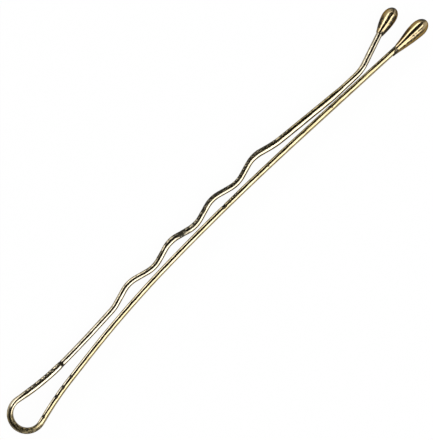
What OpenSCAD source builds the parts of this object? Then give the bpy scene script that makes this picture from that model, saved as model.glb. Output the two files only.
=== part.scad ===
// A bobby pin: one flat spring wire folded at a round bow into a straight leg and a crimped leg,
// with a dipped bead on each tip. It lies flat, with the bow at -X and the tips at +X.

/* [Wire] */
// Overall length, from the outside of the bow to the end of the straight leg's bead
pin_length = 60; // [57:1:75]
// Thickness of the flat wire, measured across the gap between the legs
wire_thickness = 0.65; // [0.5:0.05:0.8]
// Width of the flat wire
wire_width = 1.3; // [1.1:0.1:1.6]

/* [Bow] */
// Width inside the bow
bow_inner_width = 2.84; // [2.64:0.05:3.44]
// How far past square the bow turns the straight leg inwards, in degrees
bow_close = 13.5; // [11:0.5:16]
// Nominal angle at which the crimped leg leaves the bow, in degrees
bow_dip = 10.4; // [8:0.4:13]

/* [Straight leg] */
// Straight stretch after the bow
straight_neck = 1.2; // [0.6:0.1:2.5]
// Radius of the bend that levels the leg after the bow
entry_radius = 34; // [25:1:45]
// Turn of that bend, in degrees
entry_turn = 6.8; // [5:0.2:8]
// Flat stretch that an ornament can be glued to
seat_length = 3; // [1.5:0.5:5]
// Radius of the arch in the middle of the leg
arch_radius = 125; // [110:5:145]
// Turn of the arch, in degrees
arch_turn = 6.4; // [5.6:0.2:7.2]
// Radius of the last, flattest bend
sweep_radius = 300; // [240:10:360]
// Turn of that bend, in degrees
sweep_turn = 3.2; // [2.4:0.2:4]

/* [Crimped leg] */
// Gap that is left between the legs where they pinch
leg_gap = 0.1; // [0.05:0.01:0.3]
// Straight stretch after the bow
crimped_neck = 0.95; // [0.5:0.05:2]
// Radius of the dip that follows
dip_radius = 28.4; // [22:0.4:34]
// Radius of the slow rise towards the crimps
rise_radius = 117; // [90:1:140]
// Turn of that rise, in degrees
rise_turn = 2.2; // [1.6:0.2:3]
// Straight stretch before the first crimp
lead_run = 2.3; // [1:0.1:4]
// Number of crimps
crimp_count = 4; // [2:1:4]
// Distance from one crimp to the next
crimp_pitch = 6.1; // [5.4:0.1:6.8]
// Slope of the crimps' flanks, in degrees
crimp_slope = 15.7; // [13:0.1:18]
// Bend radius at each crest and trough
crimp_radius = 3.3; // [2.6:0.1:4.2]
// Bend radius where the crimps begin
ramp_radius = 4; // [3:0.1:6]
// Straight part of the flank that climbs to the first crest
first_flank = 1.55; // [1.3:0.05:1.9]
// Straight part of the flank that comes down from the last crest
last_flank = 1; // [0.6:0.05:1.3]
// Bend radius where the crimps end
runout_radius = 10; // [8:0.5:14]
// Slope of the long run down to the pinch, in degrees
grip_slope = 6.2; // [5:0.1:7.5]
// Bend radius where that run levels off
settle_radius = 40; // [25:1:60]
// Slope that is left at the pinch, in degrees
pinch_slope = 2.2; // [1.6:0.1:2.8]
// Length of the pinch
pinch_length = 1.6; // [0.8:0.1:2.5]
// Radius of the bend that kicks the tip outwards
kick_radius = 2.8; // [2:0.1:4]
// Turn of that bend, in degrees
kick_turn = 20.6; // [16:0.2:24]
// Straight stretch from the kick to the bead
kick_length = 3.7; // [2.5:0.1:5]

/* [Beads] */
// How much the bead's mouth stands proud of the wire
coat = 0.05; // [0.03:0.01:0.08]
// How far each bead reaches past the wire's edges at its widest
bead_cover = 0.22; // [0.15:0.01:0.35]
// How far the wire goes into each bead
socket_depth = 1.8; // [1.2:0.1:2]
// Clearance between the wire and its socket in a bead
socket_fit = 0.01; // [0.005:0.005:0.02]
// Length of the straight leg's bead
straight_bead_length = 4.55; // [3.6:0.05:5.5]
// How far that bead stands out from the wire's flat faces at its widest
straight_bead_swell = 0.5; // [0.35:0.01:0.65]
// Slant of that bead's mouth, as travel along the wire per unit across it
straight_mouth_slant = 1.4; // [0:0.1:1.6]
// Length of the crimped leg's bead
crimped_bead_length = 3.15; // [2.6:0.05:4]
// How far that bead stands out from the wire's flat faces at its widest
crimped_bead_swell = 0.46; // [0.35:0.01:0.6]
// Slant of that bead's mouth, as travel along the wire per unit across it
crimped_mouth_slant = 0.2; // [0:0.1:1]
// Angle at which that bead sags off the wire's line, in degrees
crimped_bead_lean = 4; // [0:0.5:5]
// How far the crimped leg's bead stops short of the straight leg's
tip_stagger = 1.4; // [0:0.1:3]

/* [Hidden] */
$fa = 1;
$fs = 0.08;
// Short straight link between two bends
link = 0.5;
// Points on each rounded edge of a leg, and the most that its wire turns or runs between two rings of a bend
edge_points = 11;
ring_turn = 4;
ring_gap = 3;
// Points round a bead, rings from its mouth to its widest, and rings round its end
bead_points = 30;
mouth_rings = 13;
end_rings = 9;
// How far round its end a bead is drawn before it closes, in degrees
end_turn = 87;
// Where each bead is widest, as a share of its length, and how late it swells
straight_bead_widest = 0.74;
crimped_bead_widest = 0.66;
straight_bead_delay = 1.25;
crimped_bead_delay = 1;
wire_color = [0.62, 0.53, 0.33];
bead_color = [0.52, 0.38, 0.16];

bow_radius = bow_inner_width / 2 + wire_thickness / 2;
bow_reach = bow_radius + wire_thickness / 2;
bead_half_height = wire_width / 2 + bead_cover;

// A place is [x, y, heading], and a step is [length, 0] for a straight stretch
// or [radius, angle] for a bend, which turns left when the angle is positive.
function after(at, step) =
  let(turned = at.z + step.y, r = sign(step.y) * step.x)
  step.y == 0
    ? [at.x + step.x * cos(at.z), at.y + step.x * sin(at.z), at.z]
    : [at.x + r * (sin(turned) - sin(at.z)), at.y - r * (cos(turned) - cos(at.z)), turned];

function places(at, steps, i = 0) =
  i == len(steps) ? [at] : concat([at], places(after(at, steps[i]), steps, i + 1));

function last(list) = list[len(list) - 1];

// The straight leg leaves the bow at its lower side; its tail takes up what is left of the length.
straight_start = after([-bow_radius, 0, -90], [bow_radius, 90 + bow_close]);
straight_shape = [
  [straight_neck, 0],
  [entry_radius, -entry_turn],
  [seat_length, 0],
  [arch_radius, -arch_turn],
  [link, 0],
  [sweep_radius, -sweep_turn]
];
tail_start = last(places(straight_start, straight_shape));
tail_heading = tail_start.z;
straight_end_x = pin_length - bow_reach;
tail_length = (straight_end_x - tail_start.x) / cos(tail_heading) - straight_bead_length;
straight_mouth = after(tail_start, [tail_length, 0]);
straight_steps = concat(straight_shape, [[tail_length + socket_depth, 0]]);

// The crimped leg is laid out level first: its run down to the pinch takes up what is left of the length.
flank = crimp_pitch / 2 / cos(crimp_slope) - 2 * crimp_radius * tan(crimp_slope);
crest = [crimp_radius, -2 * crimp_slope];
trough = [crimp_radius, 2 * crimp_slope];
crimp_steps = [
  for (i = [1:crimp_count - 1]) each [crest, [flank, 0], trough, [flank, 0]],
  crest
];
lead_steps = [
  [crimped_neck, 0],
  [dip_radius, bow_dip],
  [link, 0],
  [rise_radius, rise_turn],
  [lead_run, 0],
  [ramp_radius, crimp_slope - rise_turn],
  [first_flank, 0]
];
runout_steps = [[last_flank, 0], [runout_radius, crimp_slope - grip_slope]];
pinch_steps = [[settle_radius, grip_slope - pinch_slope], [pinch_length, 0]];
kick = [kick_radius, kick_turn];
kick_heading = kick_turn - pinch_slope;
level_start = after([-bow_radius, 0, 90], [bow_radius, -90 - bow_dip]);
before_run = concat(lead_steps, crimp_steps, runout_steps);
run_start = last(places(level_start, before_run));
after_run = last(places([0, 0, -grip_slope], concat(pinch_steps, [kick, [kick_length, 0]])));
bead_reach = crimped_bead_length * cos(kick_heading - crimped_bead_lean);
grip_run = (straight_end_x - tip_stagger - bead_reach - after_run.x - run_start.x) / cos(grip_slope);
to_pinch = concat(before_run, [[grip_run, 0]], pinch_steps);

// Then it is swung about the bow's centre until the pinch clears the straight leg by leg_gap.
level_pinch = last(places(level_start, to_pinch));
pinch_arm = norm([level_pinch.x, level_pinch.y]);
tail_offset = tail_start.y * cos(tail_heading) - tail_start.x * sin(tail_heading);
pinch_height = tail_offset + wire_thickness + leg_gap;
swing = tail_heading + asin(pinch_height / pinch_arm) - atan2(level_pinch.y, level_pinch.x);
crimped_start = after([-bow_radius, 0, 90], [bow_radius, swing - 90 - bow_dip]);
crimped_steps = concat(to_pinch, [kick, [kick_length + socket_depth, 0]]);
kick_start = last(places(crimped_start, to_pinch));
crimped_mouth = after(after(kick_start, kick), [kick_length, 0]);

// The whole pin is centred over its box: down to the bow's side and up to the crimped leg's bead.
crimped_half_thickness = wire_thickness / 2 + crimped_bead_swell;
crimped_widest_at = crimped_bead_length * crimped_bead_widest;
crimped_nose = crimped_bead_length - crimped_widest_at;
nose_heading = crimped_mouth.z - crimped_bead_lean;
bead_top = crimped_mouth.y
  + crimped_widest_at / cos(crimped_bead_lean) * sin(nose_heading)
  + norm([crimped_half_thickness * cos(nose_heading), crimped_nose * sin(nose_heading)]);
pin_origin = [bow_reach - pin_length / 2, (bow_reach - bead_top) / 2, bead_half_height];

// Flat wire with fully rounded edges, with its thickness along x and its width along y
module wire_section(room = 0) {
  square([wire_thickness + 2 * room, wire_width - wire_thickness], center = true);
  for (side = [-1, 1])
    translate([0, side * (wire_width - wire_thickness) / 2])
      circle(d = wire_thickness + 2 * room);
}

module at_place(at) {
  translate([at.x, at.y, 0])
    rotate([0, 0, at.z])
      children();
}

// A closed skin over rings that have the same number of points
module loft(rings) {
  count = len(rings[0]);
  end = (len(rings) - 1) * count;
  sides = [
    for (r = [0:len(rings) - 2], k = [0:count - 1])
      let(next = (k + 1) % count, low = r * count, high = low + count)
      each [[low + k, high + k, low + next], [low + next, high + k, high + next]]
  ];
  caps = [
    [for (k = [0:count - 1]) k],
    [for (k = [count - 1:-1:0]) end + k]
  ];
  polyhedron([for (ring = rings) each ring], concat(caps, sides));
}

// The same section as a ring of points across one place of a leg
function wire_ring(at) = [
  for (side = [1, -1], k = [0:edge_points - 1])
    let(
      turn = 180 * k / (edge_points - 1),
      across = side * wire_thickness / 2 * cos(turn),
      up = side * (wire_width / 2 - wire_thickness / 2 * (1 - sin(turn)))
    )
    [at.x - across * sin(at.z), at.y + across * cos(at.z), up]
];

// A straight stretch needs one ring at its end, and a bend as many as its turn and its length ask for
function ring_count(step) =
  max(1, ceil(abs(step.y) / ring_turn), ceil(abs(step.x * step.y) * PI / 180 / ring_gap));

// One leg: its section carried from place to place along all its stretches and bends
module wire(start, steps) {
  stops = places(start, steps);
  loft([
    wire_ring(start),
    for (i = [0:len(steps) - 1], j = [1:ring_count(steps[i])])
      wire_ring(after(stops[i], [steps[i].x, steps[i].y * j / ring_count(steps[i])]))
  ]);
}

// Half sizes of a bead at a share of the way from its mouth to its widest
function swell(share, delay) = sin(90 * pow(share, delay));

// One ring of a bead: a flat oval with straight sides at the mouth, which turns elliptic as it swells.
// along is its distance from the mouth, and slant tips it forwards on one side.
function bead_ring(along, half_x, half_z, roundness, slant, sag) = [
  for (k = [0:bead_points - 1])
    let(
      turn = (k + 0.5) * 360 / bead_points,
      across = half_x * cos(turn),
      lift = (1 - roundness) * sign(sin(turn)) + roundness * sin(turn),
      up = (half_z - half_x) * lift + half_x * sin(turn)
    )
    [along + slant * across, across - sag, up]
];

// A bead lofted along x, from its mouth round the wire to its rounded end
module bead(length, swell_out, widest, delay, slant, lean) {
  mouth_x = wire_thickness / 2 + coat;
  mouth_z = wire_width / 2 + coat;
  full_x = wire_thickness / 2 + swell_out;
  widest_at = length * widest;
  nose = length - widest_at;
  mouth = [
    for (i = [0:mouth_rings - 1])
      let(share = i / mouth_rings, grown = swell(share, delay))
      bead_ring(
        widest_at * share,
        mouth_x + (full_x - mouth_x) * grown,
        mouth_z + (bead_half_height - mouth_z) * grown,
        grown,
        slant * pow(1 - share, 2),
        widest_at * share * tan(lean)
      )
  ];
  end = [
    for (i = [0:end_rings])
      let(turn = end_turn * i / end_rings, along = widest_at + nose * sin(turn) / sin(end_turn))
      bead_ring(along, full_x * cos(turn), bead_half_height * cos(turn), 1, 0, along * tan(lean))
  ];
  loft(concat(mouth, end));
}

// The pocket that the wire's end fills inside a bead
module socket() {
  translate([-socket_depth, 0, 0])
    rotate([90, 0, 90])
      linear_extrude(2 * socket_depth + socket_fit)
        wire_section(socket_fit);
}

module straight_leg() {
  color(wire_color)
    translate(pin_origin)
      wire(straight_start, straight_steps);
}

module bow() {
  color(wire_color)
    translate(pin_origin)
      rotate_extrude(angle = 180 + straight_start.z - crimped_start.z, start = 90 + crimped_start.z)
        translate([bow_radius, 0])
          wire_section();
}

module crimped_leg() {
  color(wire_color)
    translate(pin_origin)
      wire(crimped_start, crimped_steps);
}

module straight_leg_tip() {
  color(bead_color)
    translate(pin_origin)
      at_place(straight_mouth)
        difference() {
          bead(
            straight_bead_length, straight_bead_swell, straight_bead_widest,
            straight_bead_delay, straight_mouth_slant, 0
          );
          socket();
        }
}

module crimped_leg_tip() {
  color(bead_color)
    translate(pin_origin)
      at_place(crimped_mouth)
        difference() {
          bead(
            crimped_bead_length, crimped_bead_swell, crimped_bead_widest,
            crimped_bead_delay, crimped_mouth_slant, crimped_bead_lean
          );
          socket();
        }
}

straight_leg();
bow();
crimped_leg();
straight_leg_tip();
crimped_leg_tip();
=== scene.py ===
"""A bobby pin of flat spring wire with a dipped bead on each tip, and the small studio it lies in."""

import math

import bpy
import numpy as np
from mathutils import Matrix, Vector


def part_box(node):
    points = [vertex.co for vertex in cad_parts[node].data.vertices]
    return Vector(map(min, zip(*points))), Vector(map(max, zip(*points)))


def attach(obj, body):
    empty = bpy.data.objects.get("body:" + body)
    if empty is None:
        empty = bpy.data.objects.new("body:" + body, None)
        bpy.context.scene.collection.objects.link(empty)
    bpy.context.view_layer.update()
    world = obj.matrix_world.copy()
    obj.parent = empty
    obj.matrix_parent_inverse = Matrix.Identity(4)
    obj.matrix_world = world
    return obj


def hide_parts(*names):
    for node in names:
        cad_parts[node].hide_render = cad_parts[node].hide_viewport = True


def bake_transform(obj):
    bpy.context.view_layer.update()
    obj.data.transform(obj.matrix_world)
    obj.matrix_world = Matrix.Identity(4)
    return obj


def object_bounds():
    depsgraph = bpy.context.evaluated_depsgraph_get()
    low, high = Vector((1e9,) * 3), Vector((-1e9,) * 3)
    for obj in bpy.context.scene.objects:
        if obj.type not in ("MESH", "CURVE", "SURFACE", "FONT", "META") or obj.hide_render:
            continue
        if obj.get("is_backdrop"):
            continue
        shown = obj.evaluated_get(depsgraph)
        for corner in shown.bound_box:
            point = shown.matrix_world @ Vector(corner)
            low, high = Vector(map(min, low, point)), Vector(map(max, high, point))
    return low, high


bl_info = {
    "name": "Bobby Pin",
    "version": (1, 0, 0),
    "blender": (4, 5, 0),
    "location": "3D View > Sidebar > Bobby Pin",
    "description": "Builds a bobby pin of flat wire with dipped tips, and its studio",
    "category": "Add Mesh",
}

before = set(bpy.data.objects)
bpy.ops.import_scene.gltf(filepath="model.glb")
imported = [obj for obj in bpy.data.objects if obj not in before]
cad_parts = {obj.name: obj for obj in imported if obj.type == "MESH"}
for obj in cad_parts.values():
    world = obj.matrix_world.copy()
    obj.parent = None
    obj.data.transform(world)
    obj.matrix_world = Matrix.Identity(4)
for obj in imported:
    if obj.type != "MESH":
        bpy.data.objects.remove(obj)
MM = 0.001
CAD_LOW, CAD_HIGH = (np.array(corner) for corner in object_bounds())
BOW_LOW, BOW_HIGH = (np.array(corner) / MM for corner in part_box("bow"))
WIRE_WIDTH = BOW_HIGH[2] - BOW_LOW[2]
MID_HEIGHT = (BOW_LOW[2] + BOW_HIGH[2]) / 2

# Places are x, y in millimetres from the bow's centre and a heading in degrees. A step is
# (length, 0) for a straight stretch, or (radius, turn) for a bend, which turns left when positive.
# The steps are those of the solids, but for the kick at the crimped leg's end, which is a softer
# bend here and meets the same straight stretches.
# The bow's radius is that of the wire's middle, and its reach goes to the wire's outer face.
BOW_RADIUS = 1.745
BOW_REACH = 2.07
BOW_CENTRE = np.array([BOW_LOW[0] + BOW_REACH, -0.483821])
STRAIGHT_START = (0.407362, -1.69679, 13.5)
CRIMPED_START = (0.31282, 1.71673, -10.327)
SOCKET_DEPTH = 1.8
CREST, TROUGH, FLANK = (3.3, -31.4), (3.3, 31.4), (1.31302, 0)
STRAIGHT_STEPS = [(1.2, 0), (34, -6.8), (3, 0), (125, -6.4), (0.5, 0), (300, -3.2), (13.7013, 0)]
CRIMPED_STEPS = (
    [(0.95, 0), (28.4, 10.4), (0.5, 0), (117, 2.2), (2.3, 0), (4, 13.5), (1.55, 0)]
    + [CREST, FLANK, TROUGH, FLANK] * 3
    + [CREST, (1, 0), (10, 9.5), (5.86634, 0), (40, 4), (1.2, 0), (5, 20.6), (3.3, 0)]
)
BOW_STEPS = [(BOW_RADIUS, 180 + STRAIGHT_START[2] - CRIMPED_START[2])]

# Marks that the forming tools pressed into the wire: distance from the bow, width along the
# wire and depth, all in millimetres, and the reach across from the left side: 0 is half way, 1 all
STRAIGHT_NICKS = [
    (0.65, 0.13, 0.04, 0.0),
    (3.1, 0.13, 0.06, 0.0),
    (4.3, 0.14, 0.05, 0.0),
    (5.7, 0.1, 0.03, 0.0),
    (29.3, 0.14, 0.1, 0.1),
    (35.5, 0.1, 0.02, 0.3),
    (44.4, 0.12, 0.02, 0.3),
]
CRIMPED_NICKS = [(5.92, 0.12, 0.1, 1.0), (24.5, 0.5, 0.05, 1.0), (27.9, 0.25, 0.04, 0.1)]
# Stretches that the crimping die scored crosswise: start, end. Then how far apart the notches are
# and how deep
CRIMPED_SCORED = [(1.2, 5.6), (24.2, 38.5)]
STRAIGHT_SCORED = [(29.6, 31.6)]
SCORE_PITCH, SCORE_DEPTH = 0.4, 0.04
# Stretches that the die pressed thicker: start, end, and how far each side swelled. The swelling
# comes and goes over SWELL_EASE
CRIMPED_SWOLLEN = [(0.8, 5.8, 0.045), (22.5, 26.5, 0.03), (35.5, 46.5, 0.05)]
SWELL_EASE = 1.5
# How deep a tool mark is when it is darkened in full, in millimetres. The darkening grows with the
# depth, so in the dents it is partly painted shade
MARK_DEPTH = 0.02
# Within this distance of its ends the skin of a stretch wanders less and less, so that it meets
# its neighbour
STEADY_END = 0.6
# The wire's edges as the rolls and the die left them, and the painted light on its lacquer: distance
# from the bow in millimetres, how square the left edge is (2 is a half circle), the cant, the painted
# shade on its left edge, on its right edge and all over, which deepens its dark reflections and dims
# its highlights, and the lacquer's tone on its left and on its right side, browner above 0 and paler
# below 0, where the steel shows through thin lacquer. That tone is partly pooled and thin lacquer and
# partly painted light: a painted shade on the dark side and a painted tint of the highlights
BOW_EDGE = [
    (0, 2, -0.18, 0.25, 0.3, 0, -0.25, -0.25),
    (0.6, 2.3, -0.38, 0.1, 0.1, 0, -0.3, -0.35),
    (1.4, 2.2, -0.36, 0.1, 0.2, 0.15, 0, -0.1),
    (2.2, 2, -0.2, 0.2, 0.6, 0.32, 0.9, 0.4),
    (4.2, 2, -0.25, 0.3, 0.8, 0.45, 1, 0.45),
    (5.2, 2.2, -0.48, 0.5, 1, 0.6, 1, 0.45),
    (5.8, 2.4, -0.4, 0.4, 0.9, 0.4, 0.8, 0.36),
    (6.3, 2.5, -0.1, 0, 0.2, 0, -0.1, 0.4),
]
STRAIGHT_EDGE = [
    (0, 2.5, -0.1, 0, 0.2, 0, -0.1, 0.4),
    (3, 2.8, 0.04, 0, 0.2, 0, -0.4, 0.5),
    (9, 2.85, 0.05, 0, 0.1, 0, -0.4, 0.45),
    (18, 2.95, 0.05, 0, 0, 0, -0.1, 0.2),
    (25, 3, 0.06, 0.05, 0, 0, -0.05, -0.05),
    (28, 3, 0.05, 0.3, 0, 0, 0.3, 0.15),
    (36, 3, -0.01, 0.35, 0, 0, 0.5, 0.25),
    (41, 3.2, -0.08, 0.4, 0, 0, 0.8, 0.36),
    (50, 3.2, -0.08, 0.4, 0, 0, 0.8, 0.36),
    (57, 3, 0, 1.2, 0.4, 0.05, 0.5, 0.3),
]
CRIMPED_EDGE = [
    (0, 2, 0.18, 0.3, 0.25, 0, -0.25, -0.25),
    (1, 2.7, 0.09, 0.5, 0.3, 0, -0.2, -0.2),
    (5, 2.8, 0.1, 0.5, 0.25, 0, -0.2, -0.3),
    (6.5, 2.5, 0.14, 0.3, 0, 0, -0.4, -0.45),
    (13, 2.5, 0.15, 0.25, 0, 0, -0.3, -0.4),
    (18, 2.8, 0.12, 0.35, 0.05, 0.05, -0.2, -0.35),
    (20, 2.8, 0.14, 0.45, 0.1, 0.08, -0.1, -0.3),
    (24, 2.8, 0.18, 0.6, 0.2, 0.1, -0.2, -0.3),
    (27, 3, 0.14, 1, 0.2, 0.05, -0.2, -0.2),
    (28.6, 4, 0.12, 2.4, 0.2, 0.05, -0.2, -0.2),
    (31, 4, 0.12, 2.4, 0.2, 0.08, -0.2, -0.2),
    (32, 4, 0.12, 1, 0.2, 0.08, -0.2, -0.2),
    (34, 4, 0.1, 1, 0.25, 0.05, -0.2, -0.2),
    (35, 4, 0.1, 1.8, 0.25, 0.05, -0.2, -0.2),
    (38.5, 3.2, 0.06, 1, 0.25, 0, 0.2, -0.15),
    (41, 3.2, 0.03, 0.45, 0.25, 0, 0.7, -0.15),
    (46, 3, 0.01, 0.4, 0.2, 0, 0.7, -0.2),
    (49, 2.6, 0.05, 0.35, 0.15, 0, 0.4, -0.25),
    (50.5, 2.8, 0.32, 0.3, 0.3, 0.05, -0.35, -0.35),
    (57, 2.8, 0.34, 0.35, 0.4, 0.05, -0.35, -0.35),
]
# Painted reflections: dark streaks on the beads where their curves mirror something dark. Distance from
# the mouth and half length in millimetres, place across as a share of the half width with its half
# width, and how dark
STRAIGHT_PAINTED_STREAKS = [
    (0.15, 0.35, -0.6, 0.35, 3),
    (1.5, 1.6, -0.6, 0.12, 1.6),
    (1.8, 0.7, 0.8, 0.15, 1.5),
    (2.9, 0.7, -0.27, 0.1, 1.6),
    (4.35, 0.3, 0.85, 0.5, 4),
]
CRIMPED_PAINTED_STREAKS = [
    (0.15, 0.3, -0.5, 0.3, 2.5),
    (0.5, 0.8, -0.75, 0.22, 2),
    (0.9, 0.7, 0.78, 0.2, 3),
    (1.9, 0.9, -0.62, 0.16, 2),
    (2.2, 0.5, 0.12, 0.12, 1.5),
    (3.05, 0.22, 0.6, 0.7, 4),
]
# Points on a bead: rings from the mouth to its widest place after the first few, rings from there
# to its end, points round a ring, and the angle at which the last ring is closed by a flat cap
SWELL_RINGS, NOSE_RINGS, BEAD_POINTS, NOSE_ANGLE = 60, 40, 96, 88.5
# Share of the swelling length over which the mouth's lip is rounded. Then how far the dark rim goes and
# how far from the mouth the painted shade on the beads' flanks grows to its full strength, in
# millimetres
LIP, RIM, FLANK_SHADE_REACH = 0.03, 0.13, 1.2
# Faces that meet at more than this angle in degrees keep a sharp edge
SHARP_ANGLE = 50

# Patterns of the lacquer: how often each one changes in a millimetre along the wire, across it and
# up
MOTTLE = (0.45, 1.6, 1.6)
STREAKS = (0.9, 11.0, 11.0)
GRAIN = (26.0, 26.0, 26.0)
SPECKS = (3.4, 4.4, 4.4)
SCUFFS = (1.3, 3.0, 3.0)
DRAWN_LINES = (0.7, 42.0, 42.0)
PITS = (17.0, 17.0, 17.0)
# Colours of the pale steel tint, which shows through thin lacquer and also pales the highlights as
# painted light, of a mark and of painted shade, and of what the skin mirrors at a glancing angle. Then
# the roughness of the clear coat, and the height of the fine relief in metres
PALE_STEEL_TINT = (0.42, 0.41, 0.37, 1.0)
DARK_MARK_AND_SHADE = (0.03, 0.027, 0.018, 1.0)
GLANCING_TINT = (0.26, 0.21, 0.12, 1.0)
COAT_ROUGHNESS = 0.04
RELIEF_HEIGHT = 0.01 * MM
# How far the darkest marks and painted shade cover the lacquer, and how much rougher they make it
DARKEST_MARK_AND_SHADE, MARK_ROUGHNESS = 0.96, 0.25

# The studio, in metres: half the floor's side, the radius of the arched cards and the distance of
# the lamps. Then the cards' height over the floor as a share of their radius, the share of the
# floor that shows white whatever falls on it, and the light that fills the shade
FLOOR_HALF, CARD_RADIUS, LAMP_DISTANCE = 0.6, 0.5, 0.45
CARD_LIFT, FLOOR_WHITE, FILL = 0.01, 0.97, 0.35
FLOOR_COLOUR, CARD_COLOUR = (0.9, 0.9, 0.9, 1.0), (1.0, 0.97, 0.92, 1.0)
# A card glows in full up to the first of these heights in metres, and from the second one on by
# this share
GLOW_HEIGHTS, OVERHEAD_GLOW = (0.1, 0.45), 0.12
# The picture: millimetres to a pixel at the wire's middle height, its height in pixels, and the
# place x, y in millimetres that the camera looks at
PIXEL, PICTURE_HEIGHT, CAMERA_AIM = 0.10336, 440, (0.088, -0.32)


def walk(start, steps, spacing):
    """Distance, x, y and heading in radians along a leg, as arrays.

    A step of length L has a curvature k, which is 0 on a straight stretch. A distance d into it,
    the heading has grown by k d, and the place has moved along the mean heading by the chord,
    d sin(k d / 2) / (k d / 2)."""
    size, turn = np.array(steps, float).T
    turn = np.radians(turn)
    straight = turn == 0
    length = np.where(straight, size, size * np.abs(turn))
    curvature = np.where(straight, 0, np.sign(turn) / size)

    def moved(place_x, place_y, heading, bend, distance):
        half = bend * distance / 2
        chord = distance * np.sinc(half / np.pi)
        return (
            place_x + chord * np.cos(heading + half),
            place_y + chord * np.sin(heading + half),
            heading + 2 * half,
        )

    ends = np.concatenate([[0], np.cumsum(length)])
    headings = math.radians(start[2]) + np.concatenate([[0], np.cumsum(turn)[:-1]])
    step_x, step_y, _ = moved(0, 0, headings, curvature, length)
    stop_x = start[0] + np.concatenate([[0], np.cumsum(step_x)[:-1]])
    stop_y = start[1] + np.concatenate([[0], np.cumsum(step_y)[:-1]])

    along = np.linspace(0, ends[-1], int(math.ceil(ends[-1] / spacing)) + 1)
    at = np.clip(np.searchsorted(ends, along, side="right") - 1, 0, len(steps) - 1)
    x, y, heading = moved(stop_x[at], stop_y[at], headings[at], curvature[at], along - ends[at])
    return along, x, y, heading


def wire_section(radius, half_flat, square, cant, edge_points=25, flat_points=3):
    """Across, up and the outward normal of the wire's outline, for each ring of a leg.

    Each edge is half of a superellipse, cos^(2/n) by sin^(2/n), where n is 2 on the right side and
    square on the left. The flats join the two edges. A cant lowers each point by cant times across."""
    turn = np.linspace(0, np.pi, edge_points)
    flat = np.full(flat_points, np.pi)
    cos = np.cos(np.concatenate([turn, flat, turn + np.pi, flat + np.pi]))
    sin = np.sin(np.concatenate([turn, np.zeros(flat_points), turn + np.pi, np.zeros(flat_points)]))
    run = np.linspace(half_flat, -half_flat, flat_points + 2)[1:-1]
    edge = np.full(edge_points, half_flat)
    base = np.concatenate([edge, run, -edge, -run])
    power = 2 / np.where(cos > 0, square[:, None], 2.0)
    across = radius * np.sign(cos) * np.abs(cos) ** power
    up = base + radius * np.sign(sin) * np.abs(sin) ** power - cant[:, None] * across
    return across, up, np.stack([cos, sin], axis=1)


def ripple(along, seed, scale):
    """A smooth, uneven wave between about -1 and 1: four sines whose lengths share no factor."""
    lengths = scale * np.array([1.0, 0.618, 0.414, 0.271])
    phases = seed * np.array([1.0, 2.3, 3.7, 5.1])
    return np.sin(2 * np.pi * along[..., None] / lengths + phases).sum(-1) / 2.6


def window(along, start, end, ease=0.4):
    """1 between start and end and 0 beyond them. It changes along a half cosine over a stretch as
    long as ease, whose middle is at start or end."""
    rise = np.clip((along - start) / ease + 0.5, 0, 1)
    fall = np.clip((end - along) / ease + 0.5, 0, 1)
    return (0.5 - 0.5 * np.cos(np.pi * rise)) * (0.5 - 0.5 * np.cos(np.pi * fall))


def left_mask(normal, middle, slope):
    """A mask over the wire's outline: middle where it faces straight up, rising by slope times the
    normal's share towards the left, and held between 0 and 1."""
    return np.clip(middle + slope * normal[:, 0], 0, 1)


def pressed(along, normal, nicks, scored):
    """Depth of the tool marks over the wire's skin, in millimetres, on a grid of ring by point.

    A nick is a bell curve along the wire, and fades towards the right side past its reach. A scored
    stretch has a row of narrow notches on the left edge, whose spacing and depth wander. All are
    deeper on the rounded edges than on the flats."""
    depth = np.zeros((len(along), len(normal)))
    for place, width, deep, reach in nicks:
        across = left_mask(normal, 0.5 + 2 * reach, 2)
        depth += deep * np.exp(-(((along - place) / width) ** 2))[:, None] * across
    phase = 2 * np.pi * (along / SCORE_PITCH + 0.35 * ripple(along, seed=1.7, scale=2.1))
    notch = np.clip(np.cos(phase) + 0.6 * ripple(along, seed=4.2, scale=0.9), 0, 1)
    for start, end in scored:
        row = SCORE_DEPTH * notch * window(along, start, end)
        depth += row[:, None] * left_mask(normal, 0.3, 2)
    return depth * (0.25 + 0.75 * np.abs(normal[:, 1]))


def skin(name, grid, strand, marks_and_painted_shade, painted_tone):
    """A closed mesh over a grid of rings, with quads between neighbouring rings and a flat cap on
    each end. Its rings run anticlockwise as seen from the far end, so the faces point outwards.
    The last three arrays become attributes of its points, which the lacquer reads."""
    rings, around = grid.shape[:2]
    index = np.arange(rings * around).reshape(rings, around)
    low, high = index[:-1], index[1:]
    quads = np.stack([low, np.roll(low, -1, 1), np.roll(high, -1, 1), high], axis=-1)
    faces = quads.reshape(-1, 4).tolist() + [index[0, ::-1].tolist(), index[-1].tolist()]
    mesh = bpy.data.meshes.new(name)
    mesh.from_pydata((grid.reshape(-1, 3) * MM).tolist(), [], faces)
    mesh.attributes.new("strand", "FLOAT_VECTOR", "POINT").data.foreach_set(
        "vector", strand.astype(np.float32).ravel()
    )
    for label, values in (("marks_and_painted_shade", marks_and_painted_shade), ("painted_tone", painted_tone)):
        mesh.attributes.new(label, "FLOAT", "POINT").data.foreach_set(
            "value", values.astype(np.float32).ravel()
        )
    mesh.polygons.foreach_set("use_smooth", np.ones(len(faces), dtype=bool))
    mesh.update()
    mesh.validate()
    mesh.set_sharp_from_angle(angle=math.radians(SHARP_ANGLE))
    piece = bpy.data.objects.new(name, mesh)
    bpy.context.scene.collection.objects.link(piece)
    return piece


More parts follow.
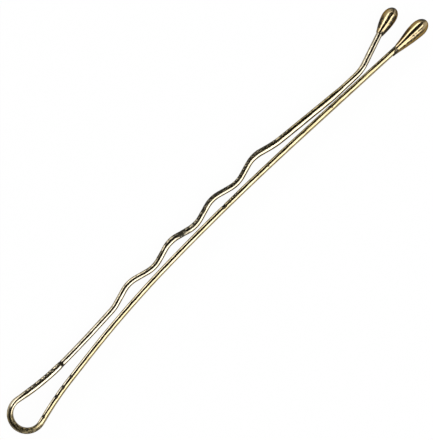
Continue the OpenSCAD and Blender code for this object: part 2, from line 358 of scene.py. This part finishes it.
def wire(name, start, steps, sizes, edge, nicks=(), scored=(), swollen=(), seed=1.0, spacing=0.055):
    """A stretch of the flat wire: its section carried along the path, with the swollen stretches pushed
    outwards on both sides, less the tool marks and a slow wobble of its skin. edge is a table of how
    its edges and its lacquer change along the way, with the painted light on it. strand holds the place
    of each point on the wire pulled straight. What darkens the lacquer is painted shade, which deepens
    the wire's dark reflections and dims its highlights, and the tool marks darkened with their depth,
    which is partly painted shade in the dents. Both are kept in full on the rounded edges and weakened
    to a fifth on the flats."""
    radius = sizes.wire_thickness / MM / 2
    half_flat = sizes.wire_width / MM / 2 - radius
    along, x, y, heading = walk(start, steps, spacing)
    place, *columns = np.array(edge, float).T
    square, cant, *tones = (np.interp(along, place, each) for each in columns)
    across, up, normal = wire_section(radius, half_flat, square, cant)
    for first, last, swell in swollen:
        across = across + swell * window(along, first, last, SWELL_EASE)[:, None] * normal[:, 0]
    depth = pressed(along, normal, nicks, scored)
    # Both waves are shifted along by the way that the skin faces, so that its sides differ
    slow = ripple(along[:, None] + 3 * normal[:, 0], seed, scale=5.3)
    quick = ripple(along[:, None] - 2 * normal[:, 1], seed + 2, scale=1.7)
    wobble = sizes.wobble / MM * (0.7 * (1 + slow) + 0.12 * (1 + quick))
    ends = np.minimum(along, along[-1] - along)[:, None]
    inset = depth + wobble * np.clip(ends / STEADY_END, 0, 1)
    across, up = across - normal[:, 0] * inset, up - normal[:, 1] * inset
    side_x, side_y = -np.sin(heading)[:, None], np.cos(heading)[:, None]
    grid = np.stack(
        [
            BOW_CENTRE[0] + x[:, None] + across * side_x,
            BOW_CENTRE[1] + y[:, None] + across * side_y,
            MID_HEIGHT + up,
        ],
        axis=-1,
    )
    strand = np.stack([np.broadcast_to(along[:, None], across.shape), across, up], axis=-1)
    left, right, shade_all_over, painted_tone_left, painted_tone_right = (each[:, None] for each in tones)
    # Painted shade: the first two columns darken the left half and the outer right edge, the third the
    # whole outline, to deepen its dark reflections and dim its highlights
    painted_shade = left * left_mask(normal, 0.2, 1.8) + right * left_mask(normal, -1.5, -2.5) + shade_all_over
    # Painted tone by side: browner above 0, paler towards steel below 0. It is partly pooled and thin
    # lacquer, and partly a painted shade and a painted tint of the highlights on each side
    painted_tone = painted_tone_right + (painted_tone_left - painted_tone_right) * left_mask(normal, 0.5, 1.5)
    # Painted shade and marks are kept in full on the rounded edges, which face up and down, and
    # weakened to a fifth on the flats
    facing_up = 0.2 + 0.8 * np.clip(2.5 * np.abs(normal[:, 1]), 0, 1)
    return skin(name, grid, strand, (painted_shade + depth / MARK_DEPTH) * facing_up, painted_tone)


def bead(name, mouth, sizes, length, swell, widest, delay, slant, lean, cant, painted_streaks, seed):
    """A dipped bead along its own x, from the wire's end at mouth.

    Its mouth stands proud of the wire by the coat. From there its half thickness grows to half the
    wire's plus swell, at the share widest of its length: by the sine of a quarter turn times the share
    of the way raised to the power delay. Past that it closes like an ellipse. A ring is a flat oval
    with straight sides at the mouth, and turns elliptic as it swells. At the mouth each point is pushed
    along by slant times across, which fades with the square of the way left. The bead leans off the
    wire's line by lean degrees, and a cant lowers each point by cant times across. The painted streaks
    are bell curves along and across: painted reflections, dark streaks where the bead's curves mirror
    something dark."""
    thickness, width = sizes.wire_thickness / MM, sizes.wire_width / MM
    coat, half_height = sizes.coat / MM, sizes.bead_height / MM / 2
    mouth_x, mouth_z = thickness / 2 + coat, width / 2 + coat
    full_x = thickness / 2 + swell
    widest_at = length * widest
    nose = length - widest_at
    lean_slope = math.tan(math.radians(lean))

    first_rings = [0, 0.002, 0.006, 0.012, 0.02, 0.03]
    share = np.concatenate([first_rings, np.linspace(0.04, 1, SWELL_RINGS)])
    grown = np.sin(np.pi / 2 * share**delay)
    lip = coat * (1 - np.sqrt(1 - np.clip(1 - share / LIP, 0, 1) ** 2))
    turn = np.radians(np.linspace(0, NOSE_ANGLE, NOSE_RINGS)[1:])
    along = np.concatenate([widest_at * share, widest_at + nose * np.sin(turn) / math.sin(turn[-1])])
    swelling_x = mouth_x + (full_x - mouth_x) * grown - lip
    swelling_z = mouth_z + (half_height - mouth_z) * grown - lip
    half_x = np.concatenate([swelling_x, full_x * np.cos(turn)])
    half_z = np.concatenate([swelling_z, half_height * np.cos(turn)])
    roundness = np.concatenate([grown, np.ones_like(turn)])[:, None]
    tilt = np.concatenate([slant * (1 - share) ** 2, np.zeros_like(turn)])[:, None]

    around = np.linspace(0, 2 * np.pi, BEAD_POINTS, endpoint=False)
    left = np.cos(around)
    across = half_x[:, None] * left
    lift = (1 - roundness) * np.sign(np.sin(around)) + roundness * np.sin(around)
    up = (half_z - half_x)[:, None] * lift + half_x[:, None] * np.sin(around)
    pulled = along[:, None] + tilt * across
    dimple = ripple(along[:, None] + 0.6 * left, seed, scale=1.9)
    dimple = dimple + 0.8 * ripple(np.cos(2 * around) + 0 * along[:, None], seed + 1, scale=1.3)
    shrink = 1 - sizes.wobble / MM * (1.6 + 0.8 * dimple) * roundness / full_x
    across, up = across * shrink, up * shrink
    up = (up - cant * across * roundness) / math.hypot(1, cant)

    heading = math.radians(mouth[2])
    leaning = across - along[:, None] * lean_slope
    grid = np.stack(
        [
            BOW_CENTRE[0] + mouth[0] + pulled * math.cos(heading) - leaning * math.sin(heading),
            BOW_CENTRE[1] + mouth[1] + pulled * math.sin(heading) + leaning * math.cos(heading),
            MID_HEIGHT + up,
        ],
        axis=-1,
    )
    strand = np.stack([pulled, across, up], axis=-1)
    marks_and_painted_shade = np.exp(-((along / RIM) ** 2))[:, None] * (0.7 - 0.2 * left)
    # Painted reflections: each streak darkens the lacquer along a bell curve
    for place, reach, across_at, spread, dark in painted_streaks:
        bell = np.exp(-(((along - place) / reach) ** 2))
        marks_and_painted_shade = marks_and_painted_shade + dark * bell[:, None] * np.exp(-(((left - across_at) / spread) ** 2))
    # Painted shade on both flanks, which darkens the bead's edges more and more over the first stretch
    # from the mouth
    flank_shade = np.clip((np.abs(left) - 0.45) / 0.3, 0, 1)
    painted_tone = flank_shade * np.clip(along / FLANK_SHADE_REACH, 0, 1)[:, None]
    return skin(name, grid, strand, marks_and_painted_shade, painted_tone)


def end_place(start, steps):
    """The place at which a leg's path ends, with its heading in degrees."""
    _, x, y, heading = walk(start, steps, 1.0)
    return x[-1], y[-1], math.degrees(heading[-1])


class Tree:
    """A node tree that is written from left to right."""

    def __init__(self, tree):
        self.tree = tree
        tree.nodes.clear()
        self.column = 0

    def node(self, kind, links=None, **settings):
        """Adds a node, sets its properties, and sets or links its inputs by name or number."""
        made = self.tree.nodes.new(kind)
        made.location = (self.column, 0)
        self.column += 180
        for name, value in settings.items():
            setattr(made, name, value)
        for socket, value in (links or {}).items():
            if isinstance(value, bpy.types.NodeSocket):
                self.tree.links.new(value, made.inputs[socket])
            else:
                made.inputs[socket].default_value = value
        return made

    def math(self, operation, *values, clamp=False):
        """One step of arithmetic on two or three values."""
        links = dict(enumerate(values))
        return self.node("ShaderNodeMath", links, operation=operation, use_clamp=clamp).outputs[0]

    def noise(self, vector, stretch, detail=3.0):
        """Noise in a coordinate stretched by three factors, as a value round a half."""
        scaled = self.node("ShaderNodeVectorMath", {0: vector, 1: stretch}, operation="MULTIPLY")
        links = {"Vector": scaled.outputs[0], "Scale": 1.0, "Detail": detail, "Roughness": 0.55}
        return self.node("ShaderNodeTexNoise", links).outputs["Fac"]

    def spread(self, value, low, high, out_low=0.0, out_high=1.0):
        """Maps low to high onto out_low to out_high, held at both ends."""
        links = {"Value": value, 1: low, 2: high, 3: out_low, 4: out_high}
        return self.node("ShaderNodeMapRange", links, interpolation_type="SMOOTHSTEP").outputs[0]

    def blend(self, share, first, second, mode="MIX"):
        """Two colours blended by share. A Mix node keeps its colours on sockets 6 and 7, and its
        colour result on 2."""
        links = {0: share, 6: first, 7: second}
        return self.node("ShaderNodeMix", links, data_type="RGBA", blend_type=mode).outputs[2]


def node_group(name, inputs, outputs):
    """An empty shader node group with named sockets, its tree, and the values that it is given."""
    group = bpy.data.node_groups.new(name, "ShaderNodeTree")
    for label, kind in inputs:
        group.interface.new_socket(name=label, in_out="INPUT", socket_type=kind)
    for label, kind in outputs:
        group.interface.new_socket(name=label, in_out="OUTPUT", socket_type=kind)
    tree = Tree(group)
    return group, tree, tree.node("NodeGroupInput").outputs


VALUE, COLOUR, VECTOR = "NodeSocketFloat", "NodeSocketColor", "NodeSocketVector"


def lacquer_tone():
    """Colour of the lacquer: two tones mottled along the wire, the darker one also where the painted
    tone is above 0, a pale steel tint where it is below 0, a fine grain, and dark speckled marks and
    painted shade. The painted tone browns the wire's dark side and the beads' flanks and pales the
    wire's highlights, and the painted shade deepens dark reflections and dims highlights."""
    name = "Lacquer tone"
    if name in bpy.data.node_groups:
        return bpy.data.node_groups[name]
    group, tree, given = node_group(
        name,
        [("Vector", VECTOR), ("Light", COLOUR), ("Dark", COLOUR), ("Patina", VALUE)]
        + [("Marks and painted shade", VALUE), ("Painted tone", VALUE)],
        [("Color", COLOUR)],
    )
    mottle = tree.spread(tree.noise(given["Vector"], MOTTLE), low=0.38, high=0.72)
    streak = tree.spread(tree.noise(given["Vector"], STREAKS), low=0.42, high=0.75)
    share = tree.math("MULTIPLY", tree.math("ADD", mottle, streak), given["Patina"])
    share = tree.math("ADD", share, given["Painted tone"], clamp=True)
    tone = tree.blend(share, given["Light"], given["Dark"])
    # Paler towards steel where the painted tone is below 0: thin lacquer, and a painted tint of the
    # highlights
    paled = tree.math("MULTIPLY", given["Painted tone"], -1.0, clamp=True)
    tone = tree.blend(paled, tone, PALE_STEEL_TINT)
    grain = tree.noise(given["Vector"], GRAIN, detail=2.0)
    grain = tree.spread(grain, low=0.3, high=0.7, out_low=0.93, out_high=1.05)
    tone = tree.blend(1.0, tone, grain, "MULTIPLY")
    speck = tree.noise(given["Vector"], SPECKS, detail=2.0)
    speck = tree.spread(speck, low=0.38, high=0.62, out_low=0.25, out_high=1.7)
    # Dark marks and painted shade, speckled
    marked_and_shaded = tree.math("MINIMUM", tree.math("MULTIPLY", given["Marks and painted shade"], speck), DARKEST_MARK_AND_SHADE)
    tone = tree.blend(marked_and_shaded, tone, DARK_MARK_AND_SHADE)
    tree.node("NodeGroupOutput", {"Color": tone})
    return group


def polished_skin():
    """Roughness and height of the polished lacquer. Scuffs turn it from Smooth to Worn, and marks
    roughen it a little more. Fine lines from drawing the wire stand up, and pits go down."""
    name = "Polished skin"
    if name in bpy.data.node_groups:
        return bpy.data.node_groups[name]
    group, tree, given = node_group(
        name,
        [("Vector", VECTOR), ("Smooth", VALUE), ("Worn", VALUE), ("Marks and painted shade", VALUE)],
        [("Roughness", VALUE), ("Height", VALUE)],
    )
    scuff = tree.spread(tree.noise(given["Vector"], SCUFFS, detail=5.0), low=0.45, high=0.78)
    lines = tree.noise(given["Vector"], DRAWN_LINES, detail=4.0)
    pits = tree.spread(tree.noise(given["Vector"], PITS, detail=2.0), low=0.66, high=0.8)
    gap = tree.math("SUBTRACT", given["Worn"], given["Smooth"])
    rough = tree.math("MULTIPLY_ADD", scuff, gap, given["Smooth"])
    marked_and_shaded = tree.math("MULTIPLY", given["Marks and painted shade"], MARK_ROUGHNESS, clamp=True)
    rough = tree.math("ADD", rough, marked_and_shaded, clamp=True)
    height = tree.math("SUBTRACT", tree.math("MULTIPLY", lines, 0.6), tree.math("MULTIPLY", pits, 0.9))
    tree.node("NodeGroupOutput", {"Roughness": rough, "Height": height})
    return group


def lacquer(name, light, dark, patina, smooth, worn, coat, relief):
    """Polished gold lacquer on metal, from the two shared groups and the attributes of the piece's
    points. Its coat and its relief are the same everywhere, so they are set on their own sockets."""
    if name in bpy.data.materials:
        return bpy.data.materials[name]
    material = bpy.data.materials.new(name)
    material.use_nodes = True
    material.diffuse_color = (*light, 1.0)
    tree = Tree(material.node_tree)
    strand = tree.node("ShaderNodeAttribute", attribute_name="strand").outputs["Vector"]
    marks_and_painted_shade = tree.node("ShaderNodeAttribute", attribute_name="marks_and_painted_shade").outputs["Fac"]
    painted_tone = tree.node("ShaderNodeAttribute", attribute_name="painted_tone").outputs["Fac"]
    place = {"Vector": strand, "Marks and painted shade": marks_and_painted_shade}
    colours = {"Light": (*light, 1.0), "Dark": (*dark, 1.0), "Patina": patina, "Painted tone": painted_tone}
    tone = tree.node("ShaderNodeGroup", {**place, **colours}, node_tree=lacquer_tone())
    wear = {"Smooth": smooth, "Worn": worn}
    finish = tree.node("ShaderNodeGroup", {**place, **wear}, node_tree=polished_skin())
    height = {"Height": finish.outputs["Height"], "Strength": relief, "Distance": RELIEF_HEIGHT}
    shader = tree.node(
        "ShaderNodeBsdfPrincipled",
        {
            "Base Color": tone.outputs["Color"],
            "Roughness": finish.outputs["Roughness"],
            "Normal": tree.node("ShaderNodeBump", height).outputs["Normal"],
            "Metallic": 1.0,
            "Specular Tint": GLANCING_TINT,
            "Coat Weight": coat,
            "Coat Roughness": COAT_ROUGHNESS,
        },
    )
    tree.node("ShaderNodeOutputMaterial", {"Surface": shader.outputs["BSDF"]})
    return material


def shown(tree, seen, unseen):
    """One value for rays from the camera, mirrors and glass, and another for the rest."""
    path = tree.node("ShaderNodeLightPath").outputs
    direct = tree.math("MAXIMUM", path["Is Camera Ray"], path["Is Glossy Ray"])
    direct = tree.math("MAXIMUM", direct, path["Is Transmission Ray"])
    return tree.spread(direct, low=0.0, high=1.0, out_low=unseen, out_high=seen)


class PinSizes(bpy.types.PropertyGroup):
    """Sizes of the wire and the beads."""

    wire_thickness: bpy.props.FloatProperty(
        name="Wire thickness",
        description="Thickness of the flat wire, measured across the gap between the legs",
        default=0.65 * MM, min=0.3 * MM, max=1.0 * MM, unit="LENGTH", precision=5,
    )
    wire_width: bpy.props.FloatProperty(
        name="Wire width",
        description="Width of the flat wire, which stands upright when the pin lies flat",
        default=WIRE_WIDTH * MM, min=0.8 * MM, max=2.0 * MM, unit="LENGTH", precision=5,
    )
    wobble: bpy.props.FloatProperty(
        name="Wobble",
        description="How far the polished skin wanders from its true shape",
        default=0.003 * MM, min=0.0, max=0.02 * MM, unit="LENGTH", precision=6,
    )
    coat: bpy.props.FloatProperty(
        name="Coat",
        description="How much a bead's mouth stands proud of the wire",
        default=0.05 * MM, min=0.0, max=0.1 * MM, unit="LENGTH", precision=5,
    )
    bead_height: bpy.props.FloatProperty(
        name="Bead height",
        description="Height of both beads at their widest",
        default=float(CAD_HIGH[2] - CAD_LOW[2]), min=1.0 * MM, max=3.0 * MM, unit="LENGTH", precision=5,
    )
    straight_bead: bpy.props.FloatProperty(
        name="Straight leg's bead",
        description="Length of the bead on the straight leg",
        default=4.55 * MM, min=3.0 * MM, max=6.0 * MM, unit="LENGTH", precision=5,
    )
    crimped_bead: bpy.props.FloatProperty(
        name="Crimped leg's bead",
        description="Length of the bead on the crimped leg",
        default=3.15 * MM, min=2.0 * MM, max=5.0 * MM, unit="LENGTH", precision=5,
    )


class PinFinish(bpy.types.PropertyGroup):
    """Colours of the lacquer and how worn it is."""

    wire_light: bpy.props.FloatVectorProperty(
        name="Wire", description="Main colour of the wire's lacquer",
        default=(0.5, 0.42, 0.27), size=3, min=0.0, max=1.0, subtype="COLOR",
    )
    # This colour is also the painted shade where the wire's painted tone is above 0
    wire_dark: bpy.props.FloatVectorProperty(
        name="Wire patina", description="Colour that the wire's lacquer turns where it ages",
        default=(0.27, 0.215, 0.1), size=3, min=0.0, max=1.0, subtype="COLOR",
    )
    bead_light: bpy.props.FloatVectorProperty(
        name="Beads", description="Main colour of the beads' lacquer",
        default=(0.42, 0.33, 0.19), size=3, min=0.0, max=1.0, subtype="COLOR",
    )
    # This colour is also the painted shade on the beads' flanks
    bead_dark: bpy.props.FloatVectorProperty(
        name="Bead patina", description="Colour of the beads' lacquer where it pooled",
        default=(0.27, 0.18, 0.06), size=3, min=0.0, max=1.0, subtype="COLOR",
    )
    patina: bpy.props.FloatProperty(
        name="Patina", description="How strongly the patina shows",
        default=0.3, min=0.0, max=1.0, subtype="FACTOR",
    )


class PinStudio(bpy.types.PropertyGroup):
    """The lamps, the floor and the camera."""

    lamp_glow: bpy.props.FloatProperty(
        name="Lamp glow", description="Brightness of the face of each long lamp",
        default=3.45, min=0.0, max=20.0,
    )
    card_glow: bpy.props.FloatProperty(
        name="Card glow", description="Brightness of the dark cards that arch over the pin",
        default=0.17, min=0.0, max=1.0,
    )
    lens: bpy.props.FloatProperty(
        name="Lens", description="Focal length of the camera",
        default=200.0, min=20.0, max=400.0, subtype="DISTANCE_CAMERA",
    )
    roll: bpy.props.FloatProperty(
        name="Roll", description="How far the pin lies turned in the picture",
        default=math.radians(-45.3), subtype="ANGLE",
    )


def wire_finish(settings):
    """The lacquer on the wire."""
    return lacquer(
        "Antique gold wire", settings.wire_light, settings.wire_dark, settings.patina,
        smooth=0.07, worn=0.2, coat=0.08, relief=0.35,
    )


def bead_finish(settings):
    """The lacquer on the beads, which is thicker and browner and has less relief."""
    return lacquer(
        "Dipped gold bead", settings.bead_light, settings.bead_dark, settings.patina,
        smooth=0.1, worn=0.2, coat=0.15, relief=0.2,
    )


class PIN_OT_straight_leg(bpy.types.Operator):
    """Builds the straight leg's wire"""

    bl_idname = "pin.straight_leg"
    bl_label = "Straight leg"

    def execute(self, context):
        scene = context.scene
        steps = STRAIGHT_STEPS + [(SOCKET_DEPTH, 0)]
        leg = wire(
            "straight_leg_wire", STRAIGHT_START, steps, scene.pin_sizes,
            STRAIGHT_EDGE, STRAIGHT_NICKS, STRAIGHT_SCORED, seed=1.0,
        )
        leg.data.materials.append(wire_finish(scene.pin_finish))
        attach(leg, "straight_side")
        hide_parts("straight_leg")
        return {"FINISHED"}


class PIN_OT_bow(bpy.types.Operator):
    """Builds the round bow, which bends between the two legs"""

    bl_idname = "pin.bow"
    bl_label = "Bow"

    def execute(self, context):
        scene = context.scene
        x, y, heading = CRIMPED_START
        start = (x, y, heading + 180)
        bow = wire("bow_wire", start, BOW_STEPS, scene.pin_sizes, BOW_EDGE, seed=2.0)
        bow.data.materials.append(wire_finish(scene.pin_finish))
        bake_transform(bow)
        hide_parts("bow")
        return {"FINISHED"}


class PIN_OT_crimped_leg(bpy.types.Operator):
    """Builds the crimped leg's wire"""

    bl_idname = "pin.crimped_leg"
    bl_label = "Crimped leg"

    def execute(self, context):
        scene = context.scene
        steps = CRIMPED_STEPS + [(SOCKET_DEPTH, 0)]
        leg = wire(
            "crimped_leg_wire", CRIMPED_START, steps, scene.pin_sizes,
            CRIMPED_EDGE, CRIMPED_NICKS, CRIMPED_SCORED, CRIMPED_SWOLLEN, seed=3.0,
        )
        leg.data.materials.append(wire_finish(scene.pin_finish))
        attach(leg, "crimped_side")
        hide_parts("crimped_leg")
        return {"FINISHED"}


class PIN_OT_beads(bpy.types.Operator):
    """Builds the dipped bead on each tip"""

    bl_idname = "pin.beads"
    bl_label = "Beads"

    def execute(self, context):
        scene = context.scene
        sizes = scene.pin_sizes
        straight = bead(
            "straight_leg_bead", end_place(STRAIGHT_START, STRAIGHT_STEPS), sizes,
            sizes.straight_bead / MM, swell=0.5, widest=0.74, delay=1.25,
            slant=1.4, lean=0, cant=-0.03, painted_streaks=STRAIGHT_PAINTED_STREAKS, seed=1.0,
        )
        crimped = bead(
            "crimped_leg_bead", end_place(CRIMPED_START, CRIMPED_STEPS), sizes,
            sizes.crimped_bead / MM, swell=0.46, widest=0.66, delay=1,
            slant=0.2, lean=4, cant=0.2, painted_streaks=CRIMPED_PAINTED_STREAKS, seed=2.0,
        )
        for piece, body, node in (
            (straight, "straight_side", "straight_leg_tip"),
            (crimped, "crimped_side", "crimped_leg_tip"),
        ):
            piece.data.materials.append(bead_finish(scene.pin_finish))
            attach(piece, body)
            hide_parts(node)
        return {"FINISHED"}


class PIN_OT_stage(bpy.types.Operator):
    """Sets up the white floor, the long lamps, the dark cards between them and the camera"""

    bl_idname = "pin.stage"
    bl_label = "Stage"

    def execute(self, context):
        scene = context.scene
        studio = scene.pin_studio
        self.floor(scene)
        face = self.card_face(studio.card_glow)
        self.card(scene, "dark_card", face, bearing=20, half_width=28, flare=18)
        self.card(scene, "low_card", face, bearing=-76, half_width=12, flare=0)
        for name, bearing, width, start, end in (
            ("lamp_top", -17, 15, -17, 45),
            ("lamp_near", -45, 30, -17, 15),
            ("lamp_far", 58, 20, -30, 45),
        ):
            self.lamp(scene, name, bearing, width, start, end, studio.lamp_glow)
        self.world(scene)
        self.camera(scene, studio)
        scene.view_settings.view_transform = "Standard"
        return {"FINISHED"}

    def floor(self, scene):
        """A pale floor that shows white and keeps the pin's shadow."""
        mesh = bpy.data.meshes.new("floor")
        corners = [(x * FLOOR_HALF, y * FLOOR_HALF, 0) for x, y in ((-1, -1), (1, -1), (1, 1), (-1, 1))]
        mesh.from_pydata(corners, [], [(0, 1, 2, 3)])
        floor = bpy.data.objects.new("floor", mesh)
        scene.collection.objects.link(floor)
        material = bpy.data.materials.new("Pale floor")
        material.use_nodes = True
        tree = Tree(material.node_tree)
        matt = tree.node("ShaderNodeBsdfDiffuse", {"Color": FLOOR_COLOUR})
        lift = tree.node("ShaderNodeEmission", {"Strength": 1.0})
        share = shown(tree, seen=FLOOR_WHITE, unseen=0.0)
        both = tree.node("ShaderNodeMixShader", {0: share, 1: matt.outputs[0], 2: lift.outputs[0]})
        tree.node("ShaderNodeOutputMaterial", {"Surface": both.outputs[0]})
        mesh.materials.append(material)
        floor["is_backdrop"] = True

    def card(self, scene, name, face, bearing, half_width, flare):
        """A dark card that arches over the pin from end to end, so that polished metal shows a
        dark line between the lamps. Along the arch it is a circle. bearing is its angle from
        straight up towards +y. The half width grows by flare towards the bow's end and shrinks by
        as much towards the tips, with the cube of the sine of the rise. All are in degrees."""
        rise = np.radians(np.linspace(-89, 89, 61))
        half = np.radians(half_width - flare * np.sin(rise) ** 3)
        turn = math.radians(bearing) + half[:, None] * np.linspace(-1, 1, 9)
        grid = CARD_RADIUS * np.stack(
            [
                np.sin(rise)[:, None] * np.cos(turn),
                np.sin(turn),
                np.cos(rise)[:, None] * np.cos(turn) + CARD_LIFT,
            ],
            axis=-1,
        )
        index = np.arange(turn.size).reshape(turn.shape)
        quads = np.stack([index[:-1, :-1], index[:-1, 1:], index[1:, 1:], index[1:, :-1]], axis=-1)
        mesh = bpy.data.meshes.new(name)
        mesh.from_pydata(grid.reshape(-1, 3).tolist(), [], quads.reshape(-1, 4).tolist())
        card = bpy.data.objects.new(name, mesh)
        scene.collection.objects.link(card)
        mesh.materials.append(face)
        card.visible_camera = False
        card.visible_diffuse = False
        card.visible_shadow = False
        card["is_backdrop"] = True

    def card_face(self, strength):
        """The cards' face, which is darker over the pin than at their two ends."""
        material = bpy.data.materials.new("Dark card")
        material.use_nodes = True
        tree = Tree(material.node_tree)
        place = tree.node("ShaderNodeTexCoord").outputs["Object"]
        height = tree.node("ShaderNodeSeparateXYZ", {0: place}).outputs["Z"]
        shade = tree.spread(height, *GLOW_HEIGHTS, strength, strength * OVERHEAD_GLOW)
        face = tree.node("ShaderNodeEmission", {"Color": CARD_COLOUR, "Strength": shade})
        tree.node("ShaderNodeOutputMaterial", {"Surface": face.outputs[0]})
        return material

    def lamp(self, scene, name, bearing, width, start, end, strength):
        """A long soft lamp beside the pin. bearing is its angle from straight up towards +y, width
        is how wide it looks from the pin, and start and end are how far it reaches towards the tips,
        all in degrees. Its energy is strength, the glow of its face, times pi times its area."""
        low_x, high_x = (LAMP_DISTANCE * math.tan(math.radians(reach)) for reach in (start, end))
        light = bpy.data.lights.new(name, "AREA")
        light.shape = "RECTANGLE"
        light.size = high_x - low_x
        light.size_y = 2 * LAMP_DISTANCE * math.tan(math.radians(width / 2))
        light.energy = strength * math.pi * light.size * light.size_y
        lamp = bpy.data.objects.new(name, light)
        place = Matrix.Translation(((low_x + high_x) / 2, 0, LAMP_DISTANCE))
        lamp.matrix_world = Matrix.Rotation(math.radians(-bearing), 4, "X") @ place
        lamp.visible_camera = False
        scene.collection.objects.link(lamp)

    def world(self, scene):
        """White for the camera, mirrors and glass, and a soft fill for the rest."""
        world = bpy.data.worlds.new("studio")
        world.use_nodes = True
        tree = Tree(world.node_tree)
        strength = shown(tree, seen=1.0, unseen=FILL)
        lit = tree.node("ShaderNodeBackground", {"Color": (1, 1, 1, 1), "Strength": strength})
        tree.node("ShaderNodeOutputWorld", {"Surface": lit.outputs[0]})
        scene.world = world

    def camera(self, scene, studio):
        """Looks straight down, from where the picture's longer side, its height, takes up the whole
        sensor at the wire's middle height: the lens times that length over the sensor's width."""
        data = bpy.data.cameras.new("camera")
        data.lens = studio.lens
        data.sensor_width = 36.0
        data.clip_start, data.clip_end = 0.01, 5.0
        distance = studio.lens * PIXEL * PICTURE_HEIGHT / data.sensor_width
        aim_x, aim_y = CAMERA_AIM
        place = Matrix.Translation((aim_x * MM, aim_y * MM, (MID_HEIGHT + distance) * MM))
        camera = bpy.data.objects.new("camera", data)
        camera.matrix_world = place @ Matrix.Rotation(studio.roll, 4, "Z")
        scene.collection.objects.link(camera)
        scene.camera = camera


class PIN_PT_panel(bpy.types.Panel):
    """Sizes, finish and studio of the pin, and a button for each piece"""

    bl_label = "Bobby Pin"
    bl_idname = "PIN_PT_panel"
    bl_space_type = "VIEW_3D"
    bl_region_type = "UI"
    bl_category = "Bobby Pin"

    def draw(self, context):
        for settings in (context.scene.pin_sizes, context.scene.pin_finish, context.scene.pin_studio):
            box = self.layout.box()
            for name in settings.__annotations__:
                box.prop(settings, name)
        for operator in OPERATORS:
            self.layout.operator(operator.bl_idname)


SETTINGS = {"pin_sizes": PinSizes, "pin_finish": PinFinish, "pin_studio": PinStudio}
OPERATORS = (PIN_OT_straight_leg, PIN_OT_bow, PIN_OT_crimped_leg, PIN_OT_beads, PIN_OT_stage)


def register():
    """Adds the classes, and the settings on the scene"""
    for group in SETTINGS.values():
        bpy.utils.register_class(group)
    for name, group in SETTINGS.items():
        setattr(bpy.types.Scene, name, bpy.props.PointerProperty(type=group))
    for operator in OPERATORS:
        bpy.utils.register_class(operator)
    bpy.utils.register_class(PIN_PT_panel)


def unregister():
    """Takes the classes and the settings away again"""
    bpy.utils.unregister_class(PIN_PT_panel)
    for operator in reversed(OPERATORS):
        bpy.utils.unregister_class(operator)
    for name, group in SETTINGS.items():
        delattr(bpy.types.Scene, name)
        bpy.utils.unregister_class(group)


def main():
    """Builds the stage and every piece"""
    register()
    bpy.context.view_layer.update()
    bpy.ops.pin.stage()
    bpy.ops.pin.straight_leg()
    bpy.ops.pin.bow()
    bpy.ops.pin.crimped_leg()
    bpy.ops.pin.beads()


if __name__ == "__main__":
    main()
